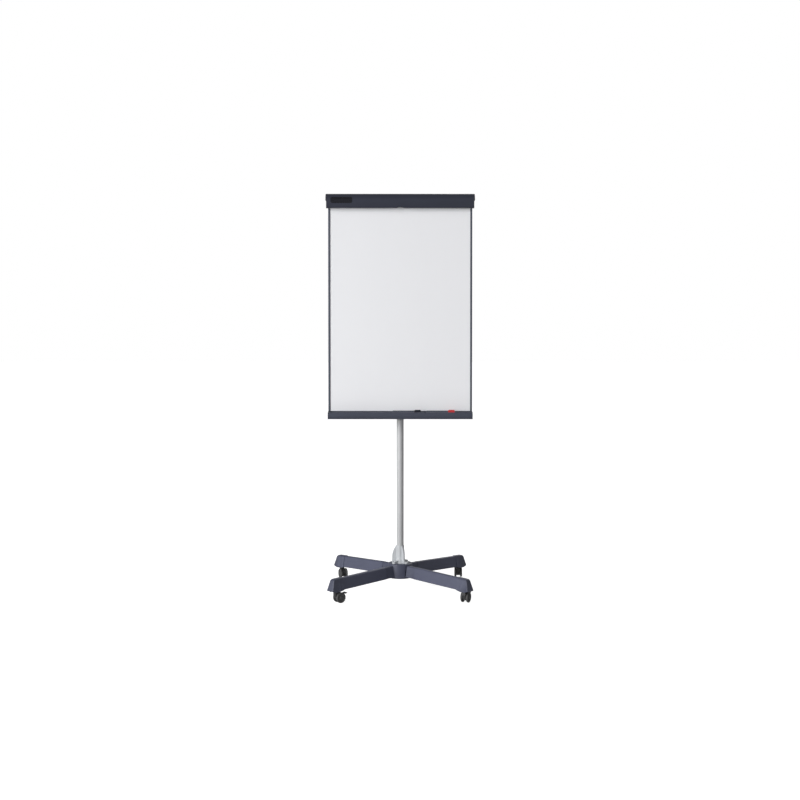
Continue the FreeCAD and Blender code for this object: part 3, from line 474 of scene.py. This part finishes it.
def runTree(tree, source, slot, values, sharp=cleaning["sharp"]):
    # gives a mesh to a tree and takes the result back as a plain mesh
    holder = bpy.data.objects.new(tree.name, source)
    bpy.context.scene.collection.objects.link(holder)
    modifier = holder.modifiers.new("shape", "NODES")
    modifier.node_group = tree
    values = dict(values, Finish=finishes[slot])
    for item in tree.interface.items_tree:
        if item.in_out == "INPUT" and item.name in values:
            modifier[item.identifier] = values[item.name]
    graph = bpy.context.evaluated_depsgraph_get()
    result = bpy.data.meshes.new_from_object(holder.evaluated_get(graph), depsgraph=graph)
    holder.modifiers.remove(modifier)
    bpy.data.objects.remove(holder)
    bm = bmesh.new()
    bm.from_mesh(result)
    bmesh.ops.remove_doubles(bm, verts=bm.verts, dist=cleaning["fineWeld"])
    return finishMesh(bm, tree.name, sharp)


spares = []


def spare(name, bm):
    # a shape that a tree repeats; it is taken out of the scene once the trees have run
    mesh = finishMesh(bm, name)
    shape = bpy.data.objects.new(name, mesh)
    bpy.context.scene.collection.objects.link(shape)
    spares.append(shape)
    return shape


def pointsMesh(name, points, facing=None):
    mesh = bpy.data.meshes.new(name)
    mesh.from_pydata([tuple(point) for point in points], [], [])
    if facing:
        layer = mesh.attributes.new("facing", "FLOAT_VECTOR", "POINT")
        for k, direction in enumerate(facing):
            layer.data[k].vector = direction
    return mesh


tube = {"wall": 1.5 * mm, "sides": 96, "mouth": 0.4 * mm, "mouthSteps": 3}


def tubeTree():
    # the wall's section, swept round a circle
    tree, sizes = newTree("tubeWall", {"Outer Radius": "Float", "Wall": "Float",
                                       "Bottom": "Float", "Top": "Float"})
    half = addNode(tree, "ShaderNodeMath", operation="MULTIPLY_ADD")
    half.inputs[1].default_value = -0.5
    link(tree, sizes["Wall"], half.inputs[0])
    link(tree, sizes["Outer Radius"], half.inputs[2])
    ring = addNode(tree, "GeometryNodeCurvePrimitiveCircle")
    ring.inputs["Resolution"].default_value = tube["sides"]
    link(tree, half.outputs[0], ring.inputs["Radius"])
    length = addNode(tree, "ShaderNodeMath", operation="SUBTRACT")
    link(tree, sizes["Top"], length.inputs[0])
    link(tree, sizes["Bottom"], length.inputs[1])
    wall = addNode(tree, "GeometryNodeCurvePrimitiveQuadrilateral")
    link(tree, sizes["Wall"], wall.inputs["Width"])
    link(tree, length.outputs[0], wall.inputs["Height"])
    mouth = addNode(tree, "GeometryNodeFilletCurve", mode="POLY")
    mouth.inputs["Radius"].default_value = tube["mouth"]
    mouth.inputs["Count"].default_value = tube["mouthSteps"]
    link(tree, wall.outputs["Curve"], mouth.inputs["Curve"])
    sweep = addNode(tree, "GeometryNodeCurveToMesh")
    link(tree, ring.outputs["Curve"], sweep.inputs["Curve"])
    link(tree, mouth.outputs["Curve"], sweep.inputs["Profile Curve"])
    middle = addNode(tree, "ShaderNodeMath", operation="MULTIPLY_ADD")
    middle.inputs[1].default_value = 0.5
    link(tree, length.outputs[0], middle.inputs[0])
    link(tree, sizes["Bottom"], middle.inputs[2])
    lift = addNode(tree, "ShaderNodeCombineXYZ")
    link(tree, middle.outputs[0], lift.inputs["Z"])
    move = addNode(tree, "GeometryNodeTransform")
    link(tree, sweep.outputs["Mesh"], move.inputs["Geometry"])
    link(tree, lift.outputs["Vector"], move.inputs["Translation"])
    endTree(tree, sizes, move.outputs["Geometry"])
    return tree


spring = {"turns": 10.0, "stepsPerTurn": 28, "wire": 0.7 * mm, "wireSides": 10, "sharp": 60}


def springTree():
    # one coil on each point, along X
    tree, sizes = newTree("torsionSpring", {"Turns": "Float", "Coil Radius": "Float",
                                            "Length": "Float", "Wire Radius": "Float"})
    coil = addNode(tree, "GeometryNodeCurveSpiral")
    coil.inputs["Resolution"].default_value = spring["stepsPerTurn"]
    link(tree, sizes["Turns"], coil.inputs["Rotations"])
    link(tree, sizes["Coil Radius"], coil.inputs["Start Radius"])
    link(tree, sizes["Coil Radius"], coil.inputs["End Radius"])
    link(tree, sizes["Length"], coil.inputs["Height"])
    wire = addNode(tree, "GeometryNodeCurvePrimitiveCircle")
    wire.inputs["Resolution"].default_value = spring["wireSides"]
    link(tree, sizes["Wire Radius"], wire.inputs["Radius"])
    sweep = addNode(tree, "GeometryNodeCurveToMesh")
    sweep.inputs["Fill Caps"].default_value = True
    link(tree, coil.outputs["Curve"], sweep.inputs["Curve"])
    link(tree, wire.outputs["Curve"], sweep.inputs["Profile Curve"])
    place = addNode(tree, "GeometryNodeInstanceOnPoints")
    place.inputs["Rotation"].default_value = (0, math.pi / 2, 0)
    link(tree, sizes["Geometry"], place.inputs["Points"])
    link(tree, sweep.outputs["Mesh"], place.inputs["Instance"])
    endTree(tree, sizes, place.outputs["Instances"])
    return tree


def fastenerTree():
    # a screw on each point, its head along the point's facing
    tree, sizes = newTree("panHeadScrews", {"Screw": "Object", "Size": "Float"})
    facing = addNode(tree, "GeometryNodeInputNamedAttribute", data_type="FLOAT_VECTOR")
    facing.inputs["Name"].default_value = "facing"
    turn = addNode(tree, "FunctionNodeAlignRotationToVector", axis="Z")
    link(tree, facing.outputs["Attribute"], turn.inputs["Vector"])
    screw = addNode(tree, "GeometryNodeObjectInfo")
    screw.inputs["As Instance"].default_value = True
    link(tree, sizes["Screw"], screw.inputs["Object"])
    place = addNode(tree, "GeometryNodeInstanceOnPoints")
    link(tree, sizes["Geometry"], place.inputs["Points"])
    link(tree, screw.outputs["Geometry"], place.inputs["Instance"])
    link(tree, turn.outputs["Rotation"], place.inputs["Rotation"])
    link(tree, sizes["Size"], place.inputs["Scale"])
    endTree(tree, sizes, place.outputs["Instances"])
    return tree


def ringTree():
    # ribs round an axle, joined to the body they stand on
    tree, sizes = newTree("ribsRound", {"Rib": "Object", "Count": "Int", "Ring Radius": "Float",
                                        "Height": "Float"})
    ring = addNode(tree, "GeometryNodeMeshCircle")
    link(tree, sizes["Count"], ring.inputs["Vertices"])
    link(tree, sizes["Ring Radius"], ring.inputs["Radius"])
    turn = addNode(tree, "FunctionNodeAlignRotationToVector", axis="X", pivot_axis="Z")
    spot = addNode(tree, "GeometryNodeInputPosition")
    link(tree, spot.outputs["Position"], turn.inputs["Vector"])
    rib = addNode(tree, "GeometryNodeObjectInfo")
    rib.inputs["As Instance"].default_value = True
    link(tree, sizes["Rib"], rib.inputs["Object"])
    place = addNode(tree, "GeometryNodeInstanceOnPoints")
    link(tree, ring.outputs["Mesh"], place.inputs["Points"])
    link(tree, rib.outputs["Geometry"], place.inputs["Instance"])
    link(tree, turn.outputs["Rotation"], place.inputs["Rotation"])
    lift = addNode(tree, "ShaderNodeCombineXYZ")
    link(tree, sizes["Height"], lift.inputs["Z"])
    move = addNode(tree, "GeometryNodeTransform")
    link(tree, place.outputs["Instances"], move.inputs["Geometry"])
    link(tree, lift.outputs["Vector"], move.inputs["Translation"])
    both = addNode(tree, "GeometryNodeJoinGeometry")
    link(tree, move.outputs["Geometry"], both.inputs["Geometry"])
    link(tree, sizes["Geometry"], both.inputs["Geometry"])
    endTree(tree, sizes, both.outputs["Geometry"])
    return tree


def rowTree():
    # ribs side by side along X, joined to the strip they stand on
    tree, sizes = newTree("ribsInRow", {"Rib": "Object", "Count": "Int", "Start": "Vector",
                                        "Step": "Float"})
    step = addNode(tree, "ShaderNodeCombineXYZ")
    link(tree, sizes["Step"], step.inputs["X"])
    row = addNode(tree, "GeometryNodeMeshLine")
    link(tree, sizes["Count"], row.inputs["Count"])
    link(tree, sizes["Start"], row.inputs["Start Location"])
    link(tree, step.outputs["Vector"], row.inputs["Offset"])
    rib = addNode(tree, "GeometryNodeObjectInfo")
    rib.inputs["As Instance"].default_value = True
    link(tree, sizes["Rib"], rib.inputs["Object"])
    place = addNode(tree, "GeometryNodeInstanceOnPoints")
    link(tree, row.outputs["Mesh"], place.inputs["Points"])
    link(tree, rib.outputs["Geometry"], place.inputs["Instance"])
    both = addNode(tree, "GeometryNodeJoinGeometry")
    link(tree, place.outputs["Instances"], both.inputs["Geometry"])
    link(tree, sizes["Geometry"], both.inputs["Geometry"])
    endTree(tree, sizes, both.outputs["Geometry"])
    return tree


# Pole tubes, springs and screws

tubeShape = tubeTree()
for tubeName in ("pole_tube", "inner_tube"):
    low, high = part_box(tubeName)
    mesh = runTree(tubeShape, bpy.data.meshes.new("empty"), slotOf[tubeName],
                   {"Outer Radius": high[0], "Wall": tube["wall"],
                    "Bottom": low[2], "Top": high[2]})
    settle(tubeName + "Wall", mesh, slotOf[tubeName], bodyOf[tubeName], tubeName)


def makeSprings():
    low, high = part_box("clamp_springs")
    coil = (high[2] - low[2]) / 2 - spring["wire"]
    starts = []
    for corners in islands("clamp_springs"):
        start = min(corner.x for corner in corners)
        length = max(corner.x for corner in corners) - start - 2 * spring["wire"]
        starts.append((start + spring["wire"], (low[1] + high[1]) / 2, (low[2] + high[2]) / 2))
    mesh = runTree(springTree(), pointsMesh("springStarts", starts), "spring_steel",
                   {"Turns": spring["turns"], "Coil Radius": coil, "Length": length,
                    "Wire Radius": spring["wire"]}, sharp=spring["sharp"])
    settle("torsionSprings", mesh, "spring_steel", bodyOf["clamp_springs"], "clamp_springs")


makeSprings()

screws = {
    "base_screws": {"head": 4.6, "rise": 3.0, "shank": 2.5, "length": 18},
    "bracket_screws": {"head": 4.8, "rise": 2.6, "shank": 2.5, "length": 11},
}
thread = {"start": 1.8, "end": 2.4, "pitch": 0.9, "depth": 0.35, "sides": 32}
rimShare = 0.9   # corners further out than this share of the head's radius are on its rim


def panHead(name, size):
    # head up, seat at zero: domed head, four-lobed recess, and rings for a thread
    head, rise, shank, length = size["head"], size["rise"], size["shank"], size["length"]
    profile = [(0, -length), (shank - 0.7, -length), (shank, -length + 1.2)]
    depth = thread["depth"]
    ridge = -length + thread["start"]
    while ridge < -thread["end"]:
        profile += [(shank, ridge), (shank - depth, ridge + depth), (shank, ridge + 2 * depth)]
        ridge += thread["pitch"]
    profile += [(shank, -0.8), (shank, 0), (head - 0.15, 0), (head, 0.2), (head, rise * 0.4),
                (head * 0.93, rise * 0.72), (head * 0.78, rise * 0.92), (head * 0.58, rise),
                (head * 0.52, rise, 0.62), (head * 0.46, rise - 1.0, 0.62),
                (head * 0.2, rise - 1.5, 0.3), (0, rise - 1.7)]
    return spare(name, lathe(bmesh.new(), profile, thread["sides"]))


def screwSpots(node):
    # where each screw's head bears, and which way it faces
    seats, facing = [], []
    for corners in islands(node):
        low = [min(corner[k] for corner in corners) for k in range(3)]
        high = [max(corner[k] for corner in corners) for k in range(3)]
        middle = Vector(((a + b) / 2 for a, b in zip(low, high)))
        along = max(range(3), key=lambda k: high[k] - low[k])
        off = [k for k in range(3) if k != along]
        width = max(abs(corner[off[0]] - middle[off[0]]) for corner in corners)
        rim = [corner[along] for corner in corners
               if math.hypot(*(corner[k] - middle[k] for k in off)) > rimShare * width]
        side = 1 if sum(rim) / len(rim) > middle[along] else -1
        seat = middle.copy()
        seat[along] = min(rim) if side > 0 else max(rim)
        seats.append(seat)
        facing.append([side if k == along else 0 for k in range(3)])
    return seats, facing


screwShape = fastenerTree()
for screwNode, size in screws.items():
    seats, facing = screwSpots(screwNode)
    shape = panHead(screwNode + "Shape", size)
    mesh = runTree(screwShape, pointsMesh("screwSeats", seats, facing), "zinc_steel",
                   {"Screw": shape, "Size": 1.0})
    settle(screwNode + "Set", mesh, "zinc_steel", bodyOf[screwNode], screwNode)
    print(screwNode, len(seats))


# Casters' wheels

wheel = {"in": 9.9, "out": 19.5, "radius": 25.0, "bore": 3.06, "sides": 72, "sharp": 32,
         "spokes": 7, "spoke": (8.2, 18.8, 1.5), "spokeHeight": (-1.2, 0.9), "spokeEdge": 0.35,
         "spokeInset": 1.8}
moves = {joint["name"]: joint for joint in frame["record"]["behaviour"]["joints"]}
ribShape = ringTree()


def wheelMesh():
    w0, w1, r = wheel["in"], wheel["out"], wheel["radius"]
    profile = [
        (0, w1 - 1.2), (wheel["bore"], w1 - 1.2), (wheel["bore"], w0), (7.5, w0),
        (8.5, w0 + 5.6), (r - 7, w0 + 5.6), (r - 5.6, w0 + 0.4), (r - 5.2, w0), (r - 2.2, w0),
        (r - 1.2, w0 + 0.3),
        (r - 0.5, w0 + 1.1), (r - 0.1, w0 + 2.2), (r, w0 + 3.1), (r, w0 + 3.6),
        (r - 0.45, w0 + 3.9), (r - 0.45, w0 + 4.5), (r, w0 + 4.8), (r, w1 - 3.9),
        (r - 0.25, w1 - 2.7), (r - 0.8, w1 - 1.9), (r - 1.7, w1 - 1.1), (r - 3, w1 - 0.4),
        (r - 4.4, w1), (r - 5.3, w1), (r - 5.8, w1 - 0.5), (r - 6.1, w1 - 1.6),
        (r - 6.8, w1 - 2.3), (r - 9, w1 - 2.5), (9, w1 - 2.5), (8.1, w1 - 2.0), (7.8, w1 - 0.9),
        (7.2, w1 - 0.2), (6.4, w1), (3.6, w1), (3.1, w1 - 0.35), (0, w1 - 0.35),
    ]
    near, far, width = wheel["spoke"]
    low, high = wheel["spokeHeight"]
    rib = bmesh.new()
    roundedBlock(rib, (-(far - near) / 2 * mm, -width / 2 * mm, low * mm),
                 ((far - near) / 2 * mm, width / 2 * mm, high * mm), wheel["spokeEdge"] * mm)
    body = finishMesh(lathe(bmesh.new(), profile, wheel["sides"]), "wheelBody")
    return runTree(ribShape, body, "wheel_tread",
                   {"Rib": spare("wheelSpoke", rib), "Count": wheel["spokes"],
                    "Ring Radius": (near + far) / 2 * mm,
                    "Height": (w1 - wheel["spokeInset"]) * mm}, sharp=wheel["sharp"])


oneWheel = wheelMesh()
for armName in arms:
    for mark, side in (("a", 1), ("b", -1)):
        nodeName = "caster_wheel_" + armName + "_" + mark
        roll = moves["wheel_roll_" + armName + "_" + mark]
        mesh = oneWheel.copy()
        mesh.transform(axleFrame(roll["pos_m"], Vector(roll["axis"]) * side))
        settle(nodeName + "_tyre", mesh, slotOf[nodeName], bodyOf[nodeName], nodeName)
print("wheels made")


# Markers

marker = {"length": 138.0, "mouth": 105.0, "barrel": 8.0, "neck": 6.9, "cap": 9.6,
          "capPlay": 0.3, "sides": 64, "nibSides": 24}
clip = {"sunk": 1.2, "proud": 1.85, "halfWidth": 2.1, "fromMouth": 3.2, "fromEnd": 2.7,
        "edge": 0.7}
capRib = {"count": 22, "sunk": 0.45, "halfDepth": 0.3, "halfWidth": 0.35, "fromMouth": 5,
          "fromEnd": 8, "edge": 0.15}


def barrelMesh():
    m, r, neck = marker["mouth"], marker["barrel"], marker["neck"]
    profile = [
        (0, 0.5), (4.9, 0.5), (5.1, 0), (6.0, 0), (6.9, 0.3), (7.6, 1.0), (r, 2.4), (r, 9.4),
        (r - 0.3, 9.7), (r - 0.3, 10.4), (r, 10.7), (r, m - 6.2), (r - 0.22, m - 5.9),
        (r - 0.22, m - 5.0), (r, m - 4.7), (r, m - 0.8), (r - 0.4, m - 0.4), (neck, m - 0.4),
        (neck, m + 3), (neck - 0.15, m + 3.4), (neck, m + 3.8), (neck - 0.2, m + 10),
        (5.3, m + 11.4), (4.6, m + 12), (3.6, m + 15.6), (3.4, m + 16), (0, m + 16)]
    return finishMesh(lathe(bmesh.new(), profile, marker["sides"]), "barrel")


def nibMesh():
    m = marker["mouth"]
    profile = [(0, m + 15.8), (2.35, m + 15.8), (2.4, m + 18.8), (2.1, m + 20), (1.6, m + 21.2),
               (0.9, m + 21.8), (0, m + 22)]
    return finishMesh(lathe(bmesh.new(), profile, marker["nibSides"]), "nib")


def capMesh(slot):
    m, end, r = marker["mouth"], marker["length"], marker["cap"]
    bore = marker["neck"] + marker["capPlay"]
    profile = [
        (0, end - 3), (5.4, end - 3), (bore, m + 14), (bore, m), (r - 0.5, m),
        (r - 0.1, m + 0.3),
        (r, m + 0.9), (r - 0.02, m + 3.6), (r - 0.3, m + 4.1), (r - 0.38, end - 7),
        (r - 0.2, end - 6.4), (r - 0.3, end - 3), (r - 0.55, end - 1.6), (r - 1.2, end - 0.7),
        (r - 2.6, end - 0.1), (r - 3.6, end), (3.2, end), (2.9, end - 0.3), (0, end - 0.3)]
    bm = lathe(bmesh.new(), profile, marker["sides"])
    half = clip["halfWidth"] * mm
    roundedBlock(bm, ((r - clip["sunk"]) * mm, -half, (m + clip["fromMouth"]) * mm),
                 ((r + clip["proud"]) * mm, half, (end - clip["fromEnd"]) * mm),
                 clip["edge"] * mm)
    deep, half = capRib["halfDepth"] * mm, capRib["halfWidth"] * mm
    rib = bmesh.new()
    roundedBlock(rib, (-deep, -half, (m + capRib["fromMouth"]) * mm),
                 (deep, half, (end - capRib["fromEnd"]) * mm), capRib["edge"] * mm, segments=1)
    return runTree(ribShape, finishMesh(bm, "capBody"), slot,
                   {"Rib": spare("capRib", rib), "Count": capRib["count"],
                    "Ring Radius": (r - capRib["sunk"]) * mm, "Height": 0.0})


nibFelt = felt("nibFelt", (0.03, 0.03, 0.035))
for markerName in ("marker_black", "marker_red"):
    low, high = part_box(markerName)
    place = axleFrame((low[0], (low[1] + high[1]) / 2, (low[2] + high[2]) / 2), (1, 0, 0))
    barrel, nib, cap = barrelMesh(), nibMesh(), capMesh(slotOf[markerName + "_cap"])
    for mesh in (barrel, nib, cap):
        mesh.transform(place)
    settle(markerName + "_barrel", barrel, slotOf[markerName], markerName, markerName)
    tip = settle(markerName + "_nib", nib, slotOf[markerName], markerName)
    tip.data.materials[0] = nibFelt
    settle(markerName + "_capBody", cap, slotOf[markerName + "_cap"], markerName + "_cap",
           markerName + "_cap")
print("markers made")


# Grip strips inside the clamp bar

grip = {"depth": 2.7 * mm, "edge": 0.4 * mm, "pitch": 3.0 * mm, "ends": 2 * mm,
        "ribDepth": 0.85 * mm, "ribSunk": 0.3 * mm, "ribWidth": 1.3 * mm,
        "ribMargin": 0.6 * mm, "ribEdge": 0.25 * mm}


def makeGrip():
    bm = bmesh.new()
    rowShape = rowTree()
    for corners in islands("clamp_grip_strip"):
        low = [min(corner[k] for corner in corners) for k in range(3)]
        high = [max(corner[k] for corner in corners) for k in range(3)]
        back = low[1] + grip["depth"]
        strip = bmesh.new()
        roundedBlock(strip, low, (high[0], back, high[2]), grip["edge"])
        rib = bmesh.new()
        half = grip["ribWidth"] / 2
        roundedBlock(rib, (-half, back - grip["ribSunk"], low[2] + grip["ribMargin"]),
                     (half, back + grip["ribDepth"], high[2] - grip["ribMargin"]),
                     grip["ribEdge"], segments=1)
        count = int((high[0] - low[0] - grip["ends"]) / grip["pitch"])
        start = (low[0] + high[0] - (count - 1) * grip["pitch"]) / 2
        ribbed = runTree(rowShape, finishMesh(strip, "strip"), "grip_rubber",
                         {"Rib": spare("gripRib", rib), "Count": count, "Start": (start, 0, 0),
                          "Step": grip["pitch"]})
        bm.from_mesh(ribbed)
    settle("ribbedGrip", finishMesh(bm, "ribbedGrip"), "grip_rubber",
           bodyOf["clamp_grip_strip"], "clamp_grip_strip")


makeGrip()
for shape in spares:
    bpy.data.objects.remove(shape)
print("grip strips made")


# Camera, light and floor

view = {
    "place": (0.0, -6.125, 1.2924),
    "pitch": 1.504,
    "lens": 56.212,
    "sensor": 36,
    "shift": (-0.00025, -0.05),
}


def makeCamera():
    data = bpy.data.cameras.new("camera")
    data.sensor_width = view["sensor"]
    data.lens = view["lens"]
    data.shift_x, data.shift_y = view["shift"]
    camera = bpy.data.objects.new("camera", data)
    camera.location = view["place"]
    camera.rotation_euler = (math.radians(90 - view["pitch"]), 0, 0)
    bpy.context.scene.collection.objects.link(camera)
    bpy.context.scene.camera = camera


studio = {
    "backdrop": 1.0,
    "horizon": 0.36,
    "zenith": 0.2,
    "floor": {"glow": 0.82, "tone": (0.6, 0.62), "roughness": 0.8, "reach": 40},
    "sun": {"azimuth": -50, "height": 14, "softness": 40, "power": 2.22},
    "rear": {"place": (1.5, 4.0, 3.2), "size": 2.5, "power": 45},
    "left": {"place": (-2.6, -2.4, 1.3), "size": 1.6, "power": 29},
    "aim": (0, 0, 0.95),
}


def makeLight(name, spec):
    data = bpy.data.lights.new(name, "AREA")
    data.shape = "DISK"
    data.size = spec["size"]
    data.energy = spec["power"]
    lamp = bpy.data.objects.new(name, data)
    lamp.location = spec["place"]
    toAim = Vector(studio["aim"]) - lamp.location
    lamp.rotation_euler = toAim.to_track_quat("-Z", "Y").to_euler()
    bpy.context.scene.collection.objects.link(lamp)


def makeSun(spec):
    data = bpy.data.lights.new("sun", "SUN")
    data.energy = spec["power"]
    data.angle = math.radians(spec["softness"])
    sun = bpy.data.objects.new("sun", data)
    sun.rotation_euler = (math.radians(90 - spec["height"]), 0, math.radians(spec["azimuth"]))
    bpy.context.scene.collection.objects.link(sun)


def makeFloor(spec):
    # the camera sees it glow, and the easel is lit by its plain grey
    material, tree, shader = newMaterial("paleFloor")
    vector = objectCoordinates(tree)
    speck = noiseOf(tree, vector, scale=3, detail=4)
    dark, light = spec["tone"]
    link(tree, tinted(tree, speck, (dark,) * 3, (light,) * 3), shader.inputs["Base Color"])
    shader.inputs["Roughness"].default_value = spec["roughness"]
    shader.inputs["Emission Color"].default_value = (1, 1, 1, 1)
    rays = tree.nodes.new("ShaderNodeLightPath")
    glow = tree.nodes.new("ShaderNodeMath")
    glow.operation = "MULTIPLY"
    glow.inputs[1].default_value = spec["glow"]
    link(tree, rays.outputs["Is Camera Ray"], glow.inputs[0])
    link(tree, glow.outputs["Value"], shader.inputs["Emission Strength"])
    mesh = bpy.data.meshes.new("floor")
    reach = spec["reach"]
    corners = [(-reach, -reach, 0), (reach, -reach, 0), (reach, reach, 0), (-reach, reach, 0)]
    mesh.from_pydata(corners, [], [(0, 1, 2, 3)])
    mesh.materials.append(material)
    floor = bpy.data.objects.new("floor", mesh)
    bpy.context.scene.collection.objects.link(floor)


def makeWorld():
    # the camera sees a white backdrop, and the easel is lit by a dimmer sky
    world = bpy.data.worlds.new("paleRoom")
    world.use_nodes = True
    tree = world.node_tree
    background = tree.nodes["Background"]
    background.inputs["Color"].default_value = (1, 1, 1, 1)
    rays = tree.nodes.new("ShaderNodeLightPath")
    around = tree.nodes.new("ShaderNodeTexCoord")
    parts = tree.nodes.new("ShaderNodeSeparateXYZ")
    link(tree, around.outputs["Generated"], parts.inputs["Vector"])
    sky = tree.nodes.new("ShaderNodeMapRange")
    sky.inputs["To Min"].default_value = studio["horizon"]
    sky.inputs["To Max"].default_value = studio["zenith"]
    link(tree, parts.outputs["Z"], sky.inputs["Value"])
    strength = tree.nodes.new("ShaderNodeMapRange")
    strength.inputs["To Max"].default_value = studio["backdrop"]
    link(tree, sky.outputs["Result"], strength.inputs["To Min"])
    link(tree, rays.outputs["Is Camera Ray"], strength.inputs["Value"])
    link(tree, strength.outputs["Result"], background.inputs["Strength"])
    bpy.context.scene.world = world
    bpy.context.scene.view_settings.view_transform = "Standard"


makeCamera()
makeWorld()
makeFloor(studio["floor"])
makeSun(studio["sun"])
makeLight("rear", studio["rear"])
makeLight("left", studio["left"])
print("camera, light and floor made")
